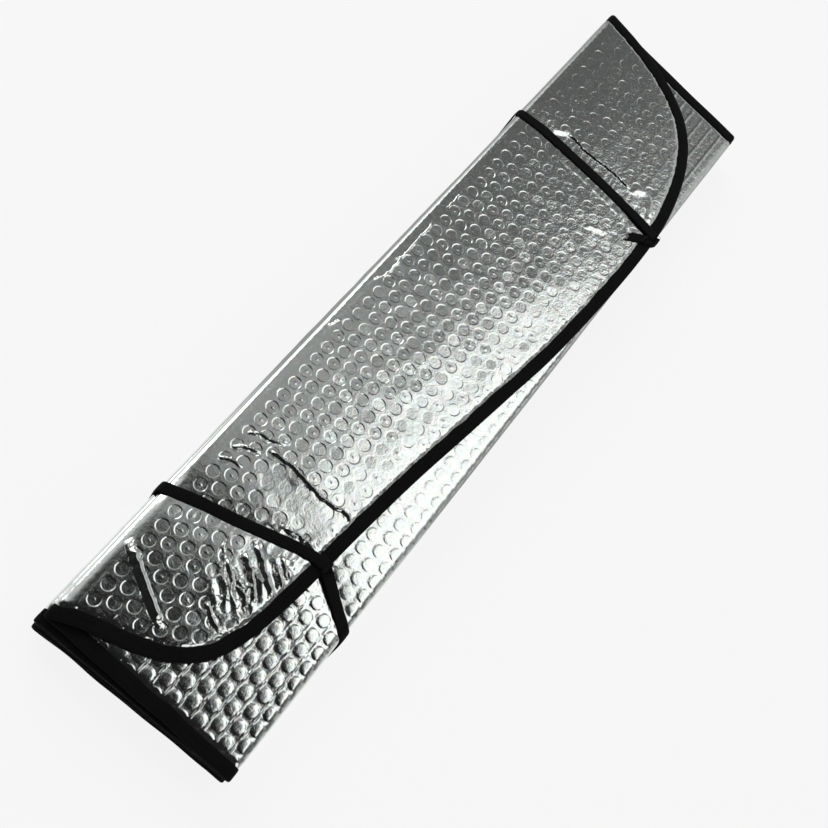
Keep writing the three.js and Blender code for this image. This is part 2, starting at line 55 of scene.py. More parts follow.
place = Vector((EYE[0] - MIDDLE[0], EYE[1] - MIDDLE[1], EYE[2])) / 1000
view.matrix_world = Matrix.Translation(place) @ turn.to_4x4()
bpy.context.scene.camera = view

# Foil sheet: two aluminised films welded over air bubbles, pleated into ten panels that
# alternate from face to back. The top panel shows its face, embossed with a ring round
# each bubble, and the panels next to it show their backs, where the bubbles stand up as domes.
PANELS, WIDTH, LENGTH = 10, 132.0, 600.0
HALF, PITCH = 1.1, 3.4  # half of one layer's thickness, and from one layer to the next
BARE = 0.45  # half of the film's thickness at its border, under the tape
RADIUS = PITCH / 2  # of the sheet's middle round a fold
REACH = HALF + RADIUS  # how far a fold stands out from the end of its flat run
RUN = WIDTH - 2 * REACH
PERIOD = RUN + math.pi * RADIUS  # one panel and one fold along the unfolded sheet
TOP = HALF + (PANELS - 1) * PITCH
TAPE = 8.4
# How far each fold lies to the right of its place, at the near end and at the far end
DRIFT = np.array([
    (0, 0), (1.5, -0.2), (0, -0.5), (-0.9, 0.3), (0.3, 0.3), (0.4, -0.5),
    (-0.5, 0.2), (-0.3, 0.4), (0.3, -0.4), (0.5, 0.1), (0, 0),
])
# How far along each fold's two ends lie
NEAR_EDGE = np.array([1.8, 0.2, -2.2, 1.6, -1.4, 2.1, -2.5, 1.2, 1.8])
FAR_EDGE = np.array([1.3, -1.6, 3.2, -0.4, 2.6, -1.2, 3.4, 0.6, 1.3])
# The top panel's slanted free edge: the tape's middle line
FREE_EDGE = np.array([
    (0.0212, 0.0100), (0.0606, 0.0145), (0.1136, 0.0198), (0.1894, 0.0250), (0.2727, 0.0305),
    (0.3788, 0.0382), (0.4697, 0.0468), (0.5530, 0.0610), (0.6100, 0.0770), (0.6470, 0.0960),
    (0.6780, 0.1230), (0.7045, 0.1640), (0.7212, 0.2030), (0.7394, 0.2500), (0.7803, 0.3330),
    (0.8348, 0.4170), (0.8879, 0.5000), (0.9152, 0.5420), (0.9356, 0.5900), (0.9530, 0.6500),
    (0.9629, 0.7100), (0.9636, 0.7560), (0.9590, 0.7870), (0.9470, 0.8120), (0.9242, 0.8400),
    (0.8920, 0.8680), (0.8447, 0.8960), (0.7803, 0.9220), (0.6932, 0.9440), (0.5909, 0.9600),
    (0.4773, 0.9725), (0.3409, 0.9830), (0.1894, 0.9905), (0.0212, 0.9953),
]) * (WIDTH, LENGTH)
# Where the two straps cross the top of the pack
NEAR_LANE = np.array([
    (-20, 90.5), (0, 96), (20, 101.5), (40, 107.5), (60, 114), (80, 120), (96, 123.2), (104, 119.2),
    (132, 102.6), (150, 92),
])
FAR_LANE = np.array([
    (-20, 467), (0, 468.5), (20, 470.5), (40, 471), (60, 471), (80, 470.5), (100, 469.5), (118, 468),
    (132, 465.5), (150, 465),
])
# Creases of the top panel: their points, how steep they are and how wide
CREASES = [
    ([(35.2, 484.2), (53.9, 483.3), (67, 484.6), (80, 485.8), (94.5, 485.1)], 1.0, 0.9),
    ([(22.7, 474.4), (30, 481), (38.2, 486)], 0.3, 1.8),
    ([(94.5, 485.1), (106.6, 492.2), (118.5, 478.3)], 0.3, 1.8),
    ([(41.5, 461.3), (68, 461.5), (94.2, 460.5), (109.7, 457.9)], 0.3, 0.7),
    ([(96, 463.5), (104, 461), (114, 456)], 0.35, 1.4),
    ([(85.2, 433.4), (93, 437), (101.4, 441.8)], 0.3, 1.6),
    ([(30, 153.7), (38.5, 154.8), (52.3, 154.9), (71, 152.9), (86.2, 155.2), (95.1, 153.6)], 1.0, 0.9),
    ([(11.7, 140), (19.8, 145.8), (26.8, 148.6)], 0.8, 0.8),
    ([(13.1, 151.5), (18.2, 156.6), (28.7, 159.7), (34.8, 162.6)], 0.8, 0.7),
    ([(9.9, 129.1), (17.4, 133.3), (25.2, 134.9)], 0.8, 0.7),
    ([(64.5, 124.5), (77.9, 126.4), (85, 125.9), (93.4, 123.9)], 1.0, 1.0),
    ([(9.8, 59.2), (22.5, 51.9), (33.6, 45.8), (48, 38.7)], 1.0, 1.9),
    ([(60.1, 106.5), (68.9, 100.9), (75.6, 96.1), (85.5, 88.9)], 1.0, 1.2),
    ([(57.8, 98.2), (64.9, 93.8), (72.5, 87.9), (80.6, 79.2)], 1.0, 1.2),
    ([(52, 88.5), (61, 82.9), (66, 79)], 0.9, 1.0),
    ([(64.7, 80.9), (72.3, 79.7), (78, 74.6)], 0.9, 1.0),
    ([(76, 112), (81, 106), (87, 101)], 0.9, 0.9),
    ([(44.2, 96.4), (47.5, 91.7), (50.1, 89.5)], 0.5, 0.6),
    ([(54.1, 85.7), (60.1, 76.1)], 0.5, 0.6),
    ([(60, 64), (68, 58), (76, 56)], 0.8, 1.0),
    ([(4.5, 238), (7, 246), (9.2, 250)], 0.3, 0.5),
    ([(4.6, 284), (7.5, 291), (9.5, 296), (9.2, 312)], 0.3, 0.5),
    ([(6.5, 306), (9.2, 314), (9, 330), (8.6, 350)], 0.3, 0.5),
    ([(8.8, 362), (9.2, 382)], 0.25, 0.45),
]
# Places where the film is pulled so tight that no bubble shows, and how wide each is
TIGHT = [
    ([(36, 478), (60, 477.5), (92, 479)], 7),
    ([(42, 141), (60, 139), (78, 140)], 9),
    ([(62, 101), (80, 88)], 9),
]
# The bubbles' lattice: how far apart they lie along a row, the side of a bubble's cell, how far
# apart the rows are, and the first bubble of the top panel's face and of the second panel's back
BUBBLE_PITCH = 10.7
CELL = BUBBLE_PITCH / math.sqrt(3)
COLUMN = 1.5 * CELL
FACE_FIRST, FACE_SHIFT = 13.9, 3.2
BACK_FIRST, BACK_SHIFT = 126.4, 8.5


def smoothstep(low, high, value):
    t = np.clip((value - low) / (high - low), 0, 1)
    return t * t * (3 - 2 * t)


def wave(x, y, size, seed):
    """A soft irregular field between about -1 and 1, with features of that size."""
    rng = np.random.default_rng(seed)
    total = np.zeros_like(x, dtype=float)
    for i in range(7):
        angle = rng.uniform(0, math.tau)
        step = math.tau / (size * rng.uniform(0.7, 1.9))
        total += np.sin((x * math.cos(angle) + y * math.sin(angle)) * step + rng.uniform(0, math.tau))
    return total / 3.2


def to_line(x, y, line, signed=False):
    """How far each point is from a line of plan points; less than nothing on its right side."""
    line = np.asarray(line, dtype=float)
    best, side = np.full(x.shape, 1e9), np.ones(x.shape)
    for a, b in zip(line[:-1], line[1:]):
        d = b - a
        t = np.clip(((x - a[0]) * d[0] + (y - a[1]) * d[1]) / (d @ d), 0, 1)
        apart = np.hypot(x - a[0] - t * d[0], y - a[1] - t * d[1])
        if signed:
            side = np.where(apart < best, np.sign((y - a[1]) * d[0] - (x - a[0]) * d[1]), side)
        best = np.minimum(best, apart)
    return best * side


def spline(points, step):
    """A smooth line through the points, sampled about every step."""
    p = np.asarray(points, dtype=float)
    p = np.vstack([2 * p[0] - p[1], p, 2 * p[-1] - p[-2]])
    rows = []
    for a, b, c, d in zip(p[:-3], p[1:-2], p[2:-1], p[3:]):
        count = max(1, round(np.linalg.norm(c - b) / step))
        t = (np.arange(count) / count)[:, None]
        rows.append(0.5 * (2 * b + (c - a) * t + (2 * a - 5 * b + 4 * c - d) * t**2
                           + (3 * b - a - 3 * c + d) * t**3))
    return np.vstack(rows + [p[-2][None]])


def folded(s, y, n):
    """Points of the unfolded sheet, s along it and n above its middle, in the pleated pack."""
    s, y, n = np.broadcast_arrays(*(np.asarray(v, dtype=float) for v in (s, y, n)))
    index = np.clip(np.floor(s / PERIOD + 1e-9), 0, PANELS - 1).astype(int)
    along = s - index * PERIOD
    odd = index % 2 == 0
    share = y / LENGTH
    before = DRIFT[index, 0] + (DRIFT[index, 1] - DRIFT[index, 0]) * share
    after = DRIFT[index + 1, 0] + (DRIFT[index + 1, 1] - DRIFT[index + 1, 0]) * share
    left = REACH + np.where(odd, after, before)
    right = WIDTH - REACH + np.where(odd, before, after)
    level = TOP - index * PITCH
    part = along / RUN
    angle = (along - RUN) / RADIUS
    reach = np.where(odd, RADIUS + n, RADIUS - n)
    flat = (along <= RUN + 1e-6) | (index == PANELS - 1)
    x = np.where(flat, np.where(odd, right + (left - right) * part, left + (right - left) * part),
                 np.where(odd, left - reach * np.sin(angle), right + reach * np.sin(angle)))
    z = np.where(flat, level + np.where(odd, n, -n), level - RADIUS + reach * np.cos(angle))
    return np.stack([x, y, z], axis=-1)


def pressed(points):
    """The whole pack is squeezed a little where the straps hold it and swells between them."""
    x, y, z = points[..., 0], points[..., 1], points[..., 2]
    squeeze = sum(np.exp(-((to_line(x, y, lane) / 13) ** 2)) for lane in (NEAR_LANE, FAR_LANE))
    swell = 0.016 * np.sin(np.clip(y / LENGTH, 0, 1) * math.pi) + 0.003 * wave(x, y, 150, 5)
    z = np.maximum(z * (1 + swell - 0.012 * squeeze), 0.02)
    return np.stack([x, y, z], axis=-1)


def make_piece(name, points, faces, uvs=None):
    """One mesh object from plan points in millimetres."""
    mesh = bpy.data.meshes.new(name)
    where = (np.asarray(points) - (MIDDLE[0], MIDDLE[1], 0)) / 1000
    mesh.from_pydata(where.tolist(), [], faces)
    if uvs is not None:
        layer = mesh.uv_layers.new(name="lay")
        corners = np.empty(len(mesh.loops), dtype=int)
        mesh.loops.foreach_get("vertex_index", corners)
        layer.data.foreach_set("uv", np.asarray(uvs)[corners].ravel())
    mesh.polygons.foreach_set("use_smooth", [True] * len(mesh.polygons))
    mesh.update()
    piece = bpy.data.objects.new(name, mesh)
    bpy.context.collection.objects.link(piece)
    return piece


def stations(last):
    """The tape's middle line along one free edge, and the directions into the sheet."""
    line = spline(FREE_EDGE, 2.6)
    start = (PANELS - 1) * PERIOD - REACH if last else WIDTH - REACH
    s = start + line[:, 0] if last else start - line[:, 0]
    rows = np.stack([s, line[:, 1]], axis=1)
    if not last:
        rows = rows[::-1]
    d = np.gradient(rows, axis=0)
    d /= np.linalg.norm(d, axis=1)[:, None]
    inward = np.stack([-d[:, 1], d[:, 0]], axis=1)
    turn_in = 1 if last else -1
    fade = smoothstep(0, 14, np.arange(len(rows)) * 2.6)[:, None]
    inward = inward * fade + (0, turn_in) * (1 - fade)
    fade = fade[::-1]
    inward = inward * fade + (0, -turn_in) * (1 - fade)
    return rows, inward / np.linalg.norm(inward, axis=1)[:, None]


def run_along(edge, base, side):
    """The tape's middle line along a pleated edge, from the first fold to the last."""
    knots = [(f * PERIOD + RUN + k * math.pi * RADIUS, edge[f])
             for f in range(PANELS - 1) for k in (0, 1)]
    s = [knots[0][0]]
    for f in range(PANELS - 1):
        first = f * PERIOD + RUN
        s += list(first + np.arange(1, 9) / 8 * math.pi * RADIUS)
        if f < PANELS - 2:
            s += list(first + math.pi * RADIUS + np.arange(1, 43) / 42 * RUN)
    s = np.array(s)
    y = base + np.interp(s, *zip(*knots)) + side * TAPE / 2
    fade_in, fade_out = smoothstep(0, 30, s - s[0]), smoothstep(0, 30, s[-1] - s)
    y += 0.35 * wave(s, s * 0, 38, 17 if side > 0 else 23) * fade_in * fade_out
    return np.stack([s, y], axis=1), np.tile((0.0, float(side)), (len(s), 1))


# The tape's closed middle line round the unfolded sheet, and the sheet's outer edge under it
top_edge, low_edge = stations(False), stations(True)
near_run, far_run = run_along(NEAR_EDGE, 0, 1), run_along(FAR_EDGE, LENGTH, -1)
LOOP = np.vstack([top_edge[0][1:-1], near_run[0], low_edge[0][1:-1], far_run[0][::-1]])
INWARD = np.vstack([top_edge[1][1:-1], near_run[1], low_edge[1][1:-1], far_run[1][::-1]])
EDGE = LOOP - INWARD * TAPE / 2


def depth_of(s, y):
    """How far a point of the unfolded sheet lies inside the tape's outer edge."""
    best = np.full(s.shape, 1e9)
    for part in (EDGE[:len(top_edge[0])], EDGE[len(top_edge[0]) - 3:]):
        near = part[(part[:, 0] > s.min() - 20) & (part[:, 0] < s.max() + 20)]
        for a, b in zip(near[:-1], near[1:]):
            d = b - a
            if d @ d > 400:
                continue
            t = np.clip(((s - a[0]) * d[0] + (y - a[1]) * d[1]) / (d @ d), 0, 1)
            best = np.minimum(best, np.hypot(s - a[0] - t * d[0], y - a[1] - t * d[1]))
    return best


def inside(points, loop):
    """Which points lie inside a closed loop."""
    x, y = points[:, 0], points[:, 1]
    found = np.zeros(len(points), dtype=bool)
    for a, b in zip(loop, np.roll(loop, -1, axis=0)):
        if a[1] == b[1]:
            continue
        crosses = (a[1] > y) != (b[1] > y)
        found ^= crosses & (x < a[0] + (y - a[1]) / (b[1] - a[1]) * (b[0] - a[0]))
    return found


def cells(x, y, first, shift):
    """The nearest bubble of the lattice: how far its middle is, and its column and row."""
    best, column, row = np.full(x.shape, 1e9), np.zeros(x.shape), np.zeros(x.shape)
    for offset in (-1, 0, 1):
        c = np.round((x - first) / COLUMN) + offset
        half = np.abs(c) % 2 * BUBBLE_PITCH / 2
        r = np.round((y - shift - half) / BUBBLE_PITCH)
        d = np.hypot(x - first - c * COLUMN, y - shift - half - r * BUBBLE_PITCH)
        closer = d < best
        best = np.where(closer, d, best)
        column, row = np.where(closer, c, column), np.where(closer, r, row)
    return best, column, row


def chance(column, row, seed):
    """A fixed number from 0 to 1 for each bubble."""
    value = np.sin(column * 127.1 + row * 311.7 + seed * 74.7) * 43758.5453
    return value - np.floor(value)


def face_relief(x, y):
    """The sheet's face: a shallow round hollow over each bubble, with a nub in its middle."""
    d, column, row = cells(x, y, FACE_FIRST, FACE_SHIFT)
    deeper = 1 + 0.5 * smoothstep(320, 240, y) * smoothstep(30, 60, x)
    strength = (0.85 + 0.45 * chance(column, row, 1)) * deeper
    # pulled nearly flat along the middle of the free edge, and fainter at the far end
    edge = to_line(x, y, FREE_EDGE)
    strength *= 1 - 0.85 * smoothstep(44, 20, edge) * smoothstep(100, 150, y) * smoothstep(440, 380, y)
    strength *= np.interp(y, [400, 470, 500], [1, 0.8, 0.5])
    hollow = np.interp(d, [0, 3.78, 4.25, 6.2], [0, 0, 0.11, 0.112])
    dx = x - FACE_FIRST - column * COLUMN
    dy = y - FACE_SHIFT - (np.abs(column) % 2) * BUBBLE_PITCH / 2 - row * BUBBLE_PITCH
    nub = np.interp(np.hypot(dx * 0.7, dy * 1.25), [0, 0.6, 1.1], [0.11, 0.045, 0])
    nub *= np.round(chance(column, row, 5))
    lean = (chance(column, row, 3) - 0.5) * dx + (chance(column, row, 6) - 0.5) * dy
    return hollow * strength + nub + 0.035 * lean * smoothstep(4.3, 3.7, d)


def back_relief(x, y):
    """The sheet's back: close-set domes with thin pleats of film between their rows."""
    d, column, row = cells(x, y, BACK_FIRST, BACK_SHIFT)
    # full round domes at the near end, which go over into low flat pads beyond the near strap
    strength = 0.85 + 0.3 * chance(column, row, 4)
    strength *= np.interp(y, [0, 60, 95, 112, 150, 430], [0.32, 0.3, 0.22, 0.09, 0.05, 0.03])
    dome = strength * np.interp(d, [0, 1.5, 2.6, 3.4, 3.9, 4.4, 4.8, 6.2],
                                [1.0, 0.98, 0.92, 0.77, 0.5, 0.08, 0, 0])
    pad = np.interp(d, [0, 3.9, 4.4, 6.2], [0.1, 0.1, 0, 0])
    dome += pad * np.interp(y, [60, 100, 125, 160, 190, 430, 520], [0, 0.8, 0.6, 0.5, 0.25, 0.2, 0])
    between = np.abs((x - BACK_FIRST) / COLUMN - np.floor((x - BACK_FIRST) / COLUMN) - 0.5) * COLUMN
    pleat = (0.24 + 0.08 * wave(x, y, 14, 8)) * np.interp(between, [0, 0.35, 0.9], [1, 0.5, 0])
    pleat *= np.interp(y, [0, 60, 120], [1, 1, 0])
    ridge = (0.16 + 0.05 * wave(x, y, 40, 18)) * np.interp(between, [0, 0.45, 1.4], [1, 0.6, 0])
    ridge *= smoothstep(450, 500, y)
    return np.maximum(dome, np.maximum(pleat, ridge))


def crooked(line, seed):
    """A crease's line with small random kinks."""
    path = spline(line, 2.6)
    kinks = np.random.default_rng(seed).uniform(-0.5, 0.5, path.shape)
    kinks[[0, -1]] = 0
    return spline(path + kinks, 1.2)


CREASES = [(crooked(line, k), high, wide) for k, (line, high, wide) in enumerate(CREASES)]


def creased(x, y):
    """Height of the top panel's creases: a long slope on one side and a short one on the other."""
    total = np.zeros(x.shape)
    for line, high, wide in CREASES:
        beside = to_line(x, y, line, signed=True) / wide
        from_end = np.minimum(*(np.hypot(x - line[k][0], y - line[k][1]) for k in (0, -1)))
        profile = np.interp(beside, [-2.2, -0.15, 0.15, 0.8], [0, 1, 1, 0])
        total = np.maximum(total, high * wide * profile * smoothstep(0, 4, from_end))
    return total


CRUMPLED = [(65, 76), (82, 100)]


def crumpled(x, y):
    """Sharp small folds where the near strap gathers the film beside the tape."""
    along, over = x * 0.83 - y * 0.55, x * 0.55 + y * 0.83
    ridge = np.maximum(1 - np.abs(wave(along * 0.2, over, 9, 21)), 0)
    return 1.0 * ridge * np.exp(-((to_line(x, y, CRUMPLED) / 9) ** 2))


def plan_x(s):
    """The panel that a place along the sheet is in, and where it lies across that panel."""
    index = np.clip(np.floor(s / PERIOD + 1e-9), 0, PANELS - 1).astype(int)
    along = s - index * PERIOD
    return index, np.where(index % 2 == 0, WIDTH - REACH - along, REACH + along)


def relief(s, y, face):
    """How far one side of the sheet stands off its middle."""
    index, x = plan_x(s)
    depth = depth_of(s, y)
    shown = (index == 0) | (index == 9) if face else (index == 1) | (index == 8)
    bump = face_relief(x, y) if face else back_relief(x, y)
    flat_part = smoothstep(8.2, 10.2, x) if face else smoothstep(130.5, 127.5, x) * smoothstep(20, 40, x)
    # the straps and the tight places press the bubbles flat
    lane = np.minimum(to_line(x, y, NEAR_LANE), to_line(x, y, FAR_LANE))
    held = np.where(index >= 8, 1, 0.15 + 0.85 * smoothstep(3.6, 6.5, lane))
    for line, wide in TIGHT if face else ():
        tight = 0.15 + 0.85 * smoothstep(wide - 3, wide, to_line(x, y, line))
        held = np.where(index == 0, held * tight, held)
    # fine lines along the left folds, slow waves over the panels, and both panels' rounding
    # down into the fold beside them
    lines = 0.03 * wave(x * 4, y * 0.35, 24, 3) * smoothstep(14, 6, x)
    lines = lines + 0.05 * wave(x, y, 34, 4) * smoothstep(12, 22, depth)
    beyond = np.clip(s - index * PERIOD - RUN, 0, 5)
    if face:
        rounding = 0.012 * np.clip(9 - x, 0, 6.2) ** 2 * smoothstep(135, 95, y)
        lines -= rounding * (1 - beyond / 5) * (index == 0)
    else:
        lines -= 0.03 * np.clip(x - 126.6, 0, 2.6) ** 2 * (1 - beyond / 5) * (index == 1)
    soft = smoothstep(8.9, 12.2, depth)
    if face:
        crease = creased(x, y)
        extra = np.where(index == 0, (crease + crumpled(x, y)) * smoothstep(3.6, 6, lane), 0)
        gathers = 0.05 * np.sin(x * 1.15 + 2 * np.sin(x * 0.31)) * np.exp(-(((lane - 6) / 4) ** 2))
        dip = np.clip(1 - 2.5 * crease, 0, 1)
        rise = (bump * flat_part * held * dip + lines + extra + gathers * (index == 0)) * soft
    else:
        rise = (bump * flat_part * held + lines) * soft
    thick = BARE + (HALF - BARE) * smoothstep(8.5, 9.8, depth)
    return thick + np.where(shown, rise, 0.12 * wave(s, y, 26, 6) * soft)


def cell_points(first, shift, left, right, rings):
    """Points on rings round every bubble between two places across a panel."""
    rows = []
    for c in range(math.floor((left - first) / COLUMN), math.ceil((right - first) / COLUMN) + 1):
        for r in range(-2, 59):
            x, y = first + c * COLUMN, shift + abs(c) % 2 * BUBBLE_PITCH / 2 + r * BUBBLE_PITCH
            rows.append((x, y))
            rows += [(x + CELL, y), (x + CELL / 2, y + BUBBLE_PITCH / 2)]
            for radius, count in rings:
                a = np.arange(count) * math.tau / count
                rows += zip(x + radius * np.cos(a), y + radius * np.sin(a))
    return np.array(rows)


# How far from a bubble's middle the mesh has rings of points, and how many points in each
FACE_RINGS = [(0.6, 8), (1.1, 8), (1.5, 8), (3.5, 16), (3.78, 16), (4.25, 16), (4.55, 16)]
BACK_RINGS = [(1.5, 8), (2.6, 16), (3.4, 16), (3.9, 16), (4.4, 16), (4.75, 16)]


def sheet_part(name, start, end, face_points, back_points):
    """A closed stretch of the sheet between two places along it: its face, its back and rim."""
    # its outline: the sheet's border inside the tape, with a straight cut at each end
    rim = LOOP + INWARD * (0.6 - TAPE / 2)
    keep = (rim[:, 0] > start + 0.4) & (rim[:, 0] < end - 0.4)
    count = len(rim)
    jumps = [i for i in range(count) if keep[i] and not keep[i - 1]]
    loop = []
    first = jumps[0] if jumps else 0
    order = [(first + i) % count for i in range(count)]
    for i in order:
        if keep[i]:
            loop.append(rim[i])
        elif loop and keep[(i - 1) % count]:
            cut = end if rim[i - 1][0] > (start + end) / 2 else start
            after = next(j for j in order[order.index(i):] + [first] if keep[j])
            y0, y1 = rim[(i - 1) % count][1], rim[after][1]
            steps = max(2, round(abs(y1 - y0) / 6))
            loop += [np.array((cut, y0 + (y1 - y0) * k / steps)) for k in range(steps + 1)]
    loop = np.array(loop)
    area = 0.5 * np.sum(loop[:, 0] * np.roll(loop[:, 1], -1) - np.roll(loop[:, 0], -1) * loop[:, 1])
    if area < 0:
        loop = loop[::-1]
    # rows of points across every fold, and a loose grid on what stays hidden
    grid = []
    for f in range(PANELS - 1):
        for k in range(9):
            s = f * PERIOD + RUN + k / 8 * math.pi * RADIUS
            if start < s < end:
                grid += [(s, y) for y in np.arange(0, LENGTH, 3.0)]
    for s in np.arange(start + 5, end - 4, 18.0):
        if (s % PERIOD) < RUN - 4:
            grid += [(s, y) for y in np.arange(6, LENGTH, 18.0)]
    grid = np.array(grid)
    sides = []
    for extra in (face_points, back_points):
        inner = grid if extra is None else np.vstack([grid, extra])
        inner = inner[(inner[:, 0] > start) & (inner[:, 0] < end)]
        inner = inner[inside(inner, loop)]
        gap = np.full(len(inner), 1e9)
        for a, b in zip(loop, np.roll(loop, -1, axis=0)):
            d = b - a
            t = np.clip(((inner - a) @ d) / (d @ d), 0, 1)
            gap = np.minimum(gap, np.linalg.norm(inner - a - t[:, None] * d, axis=1))
        inner = inner[gap > 0.5]
        given = [Vector(p) for p in np.vstack([loop, inner])]
        ends = [(i, (i + 1) % len(loop)) for i in range(len(loop))]
        flat, _, faces, origin, _, _ = delaunay_2d_cdt(given, ends, [], 1, 1e-4)
        known = {i: k for k, source in enumerate(origin) for i in source}
        sides.append((np.array([tuple(v) for v in flat]), faces, [known[i] for i in range(len(loop))]))
    (face_flat, face_faces, face_rim), (back_flat, back_faces, back_rim) = sides
    face = folded(face_flat[:, 0], face_flat[:, 1], relief(face_flat[:, 0], face_flat[:, 1], True))
    back = folded(back_flat[:, 0], back_flat[:, 1], -relief(back_flat[:, 0], back_flat[:, 1], False))
    shift = len(face)
    faces = [tuple(f) for f in face_faces] + [tuple(i + shift for i in reversed(f)) for f in back_faces]
    for i in range(len(loop)):
        j = (i + 1) % len(loop)
        faces.append((face_rim[j], face_rim[i], back_rim[i] + shift, back_rim[j] + shift))
    points = pressed(np.vstack([face, back]))
    piece = make_piece(name, points, faces)
    size = loop.max(axis=0) - loop.min(axis=0)
    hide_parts("foil_sheet")
    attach(piece, "root")
    return piece, (size / 1000, abs(area) / 1e6)


def on_sheet(points, panel):
    """Plan points of one panel, counted from the top, as places on the unfolded sheet."""
    x, y = points[:, 0], points[:, 1]
    start = (panel - 1) * PERIOD
    s = start + (WIDTH - REACH - x if panel % 2 else x - REACH)
    keep = (s > start - REACH) & (s < start + RUN - 0.3 if panel < PANELS else s < 1e9)
    return np.stack([s, y], axis=1)[keep]


face_cells = cell_points(FACE_FIRST, FACE_SHIFT, 10, WIDTH, FACE_RINGS)
bottom_cells = cell_points(FACE_FIRST, FACE_SHIFT, 10, WIDTH, FACE_RINGS[3:])
pleats = np.array([(BACK_FIRST - (k + 0.5) * COLUMN + offset, y) for k in range(-1, 8)
                   for offset in (-1.4, -0.9, -0.4, 0, 0.4, 0.9, 1.4)
                   for y in np.arange(2, LENGTH, 2.4)])
back_cells = cell_points(BACK_FIRST, BACK_SHIFT, 40, WIDTH, BACK_RINGS)
apart = np.abs((back_cells[:, 0] - BACK_FIRST) / COLUMN % 1 - 0.5) * COLUMN
back_cells = np.vstack([back_cells[apart > 1.15], pleats])
# no fine points where the top panel hides the second, but for a border along its free edge
from_edge = to_line(back_cells[:, 0], back_cells[:, 1], FREE_EDGE)
under_top = inside(back_cells, np.vstack([FREE_EDGE, [(-30, LENGTH), (-30, 0)]]))
back_cells = back_cells[~under_top | (from_edge < 12)]
crease_points = []
for line, _, wide in CREASES:
    d = np.gradient(line, axis=0)
    side = np.stack([-d[:, 1], d[:, 0]], axis=1) / np.linalg.norm(d, axis=1)[:, None]
    crease_points += [line + side * k * wide for k in (-2.5, -2.2, -1.2, -0.15, 0.15, 0.8, 1.1)]
band_points = np.array([(x, y) for x in np.arange(3.4, 9.5, 0.9) for y in np.arange(6, LENGTH, 2.2)])
crumple_points = np.array([(x, y) for x in np.arange(38, 98, 1.1) for y in np.arange(54, 118, 1.1)])
crumple_points = crumple_points[to_line(crumple_points[:, 0], crumple_points[:, 1], CRUMPLED) < 13]
loose = np.vstack([face_cells[face_cells[:, 0] > 8.6], band_points])
top_points = on_sheet(np.vstack([loose, crumple_points, *crease_points]), 1)

bottom_points = on_sheet(bottom_cells[bottom_cells[:, 0] > 8.6], 10)

# The one sheet is made as five meshes that meet inside the stack, a little past a fold, so that
# only the panels that show carry the fine relief
PAST = 9
foil_pieces = [sheet_part(*part) for part in (
    ("foil_top", -PAST, PERIOD + PAST, top_points, None),
    ("foil_second", PERIOD + PAST, 2 * PERIOD + PAST, None, on_sheet(back_cells, 2)),
    ("foil_middle", 2 * PERIOD + PAST, 7 * PERIOD + RUN - PAST, None, None),
    ("foil_ninth", 7 * PERIOD + RUN - PAST, 8 * PERIOD + RUN - PAST, None, on_sheet(back_cells, 9)),
    ("foil_bottom", 8 * PERIOD + RUN - PAST, 10 * PERIOD, bottom_points, None),
)]


def maths(tree, operation, a, b=None):
    """A Math node between two values or sockets."""
    node = tree.nodes.new("ShaderNodeMath")
    node.operation = operation
    for socket, value in zip(node.inputs, (a, b)):
        if hasattr(value, "links"):
            tree.links.new(value, socket)
        elif value is not None:
            socket.default_value = value
    return node.outputs[0]


def ramp(tree, value, low, high, start, end):
    """A soft step from start to end as the value goes from low to high."""
    node = tree.nodes.new("ShaderNodeMapRange")
    node.interpolation_type = "SMOOTHSTEP"
    for name, number in (("From Min", low), ("From Max", high), ("To Min", start), ("To Max", end)):
        node.inputs[name].default_value = number
    tree.links.new(value, node.inputs["Value"])
    return node.outputs["Result"]


foil_look = bpy.data.materials.new("aluminised_film")
foil_look.use_nodes = True
film = foil_look.node_tree
nodes, links = film.nodes, film.links
shader = nodes["Principled BSDF"]
shader.inputs["Metallic"].default_value = 1.0
where = nodes.new("ShaderNodeTexCoord")
scale = nodes.new("ShaderNodeMapping")
scale.inputs["Scale"].default_value = (1000, 1000, 1000)
links.new(where.outputs["Object"], scale.inputs["Vector"])
spread = nodes.new("ShaderNodeSeparateXYZ")
links.new(scale.outputs["Vector"], spread.inputs["Vector"])
crinkle = nodes.new("ShaderNodeTexNoise")
crinkle.inputs["Scale"].default_value = 0.34
crinkle.inputs["Detail"].default_value = 2.2
crinkle.inputs["Roughness"].default_value = 0.5
crinkle.inputs["Distortion"].default_value = 1.0
links.new(scale.outputs["Vector"], crinkle.inputs["Vector"])
# painted shade along the folds, beyond the near strap: the film's colour is darkened there, and it is also
# rougher as if scuffed
folds = maths(film, "MAXIMUM", ramp(film, spread.outputs["X"], -61.8, -64.4, 0, 1),
              ramp(film, spread.outputs["X"], 63.2, 65.2, 0, 1))
fold_shade_and_scuff = maths(film, "MULTIPLY", folds, ramp(film, spread.outputs["Y"], -180, -90, 0, 1))
mottle = nodes.new("ShaderNodeTexNoise")
mottle.inputs["Scale"].default_value = 0.2
mottle.inputs["Detail"].default_value = 4
links.new(scale.outputs["Vector"], mottle.inputs["Vector"])
tint = nodes.new("ShaderNodeVectorMath")
tint.operation = "MULTIPLY_ADD"
tint.inputs[1].default_value = (0.2, 0.12, 0.18)
tint.inputs[2].default_value = (0.722, 0.80, 0.742)
links.new(mottle.outputs["Color"], tint.inputs[0])
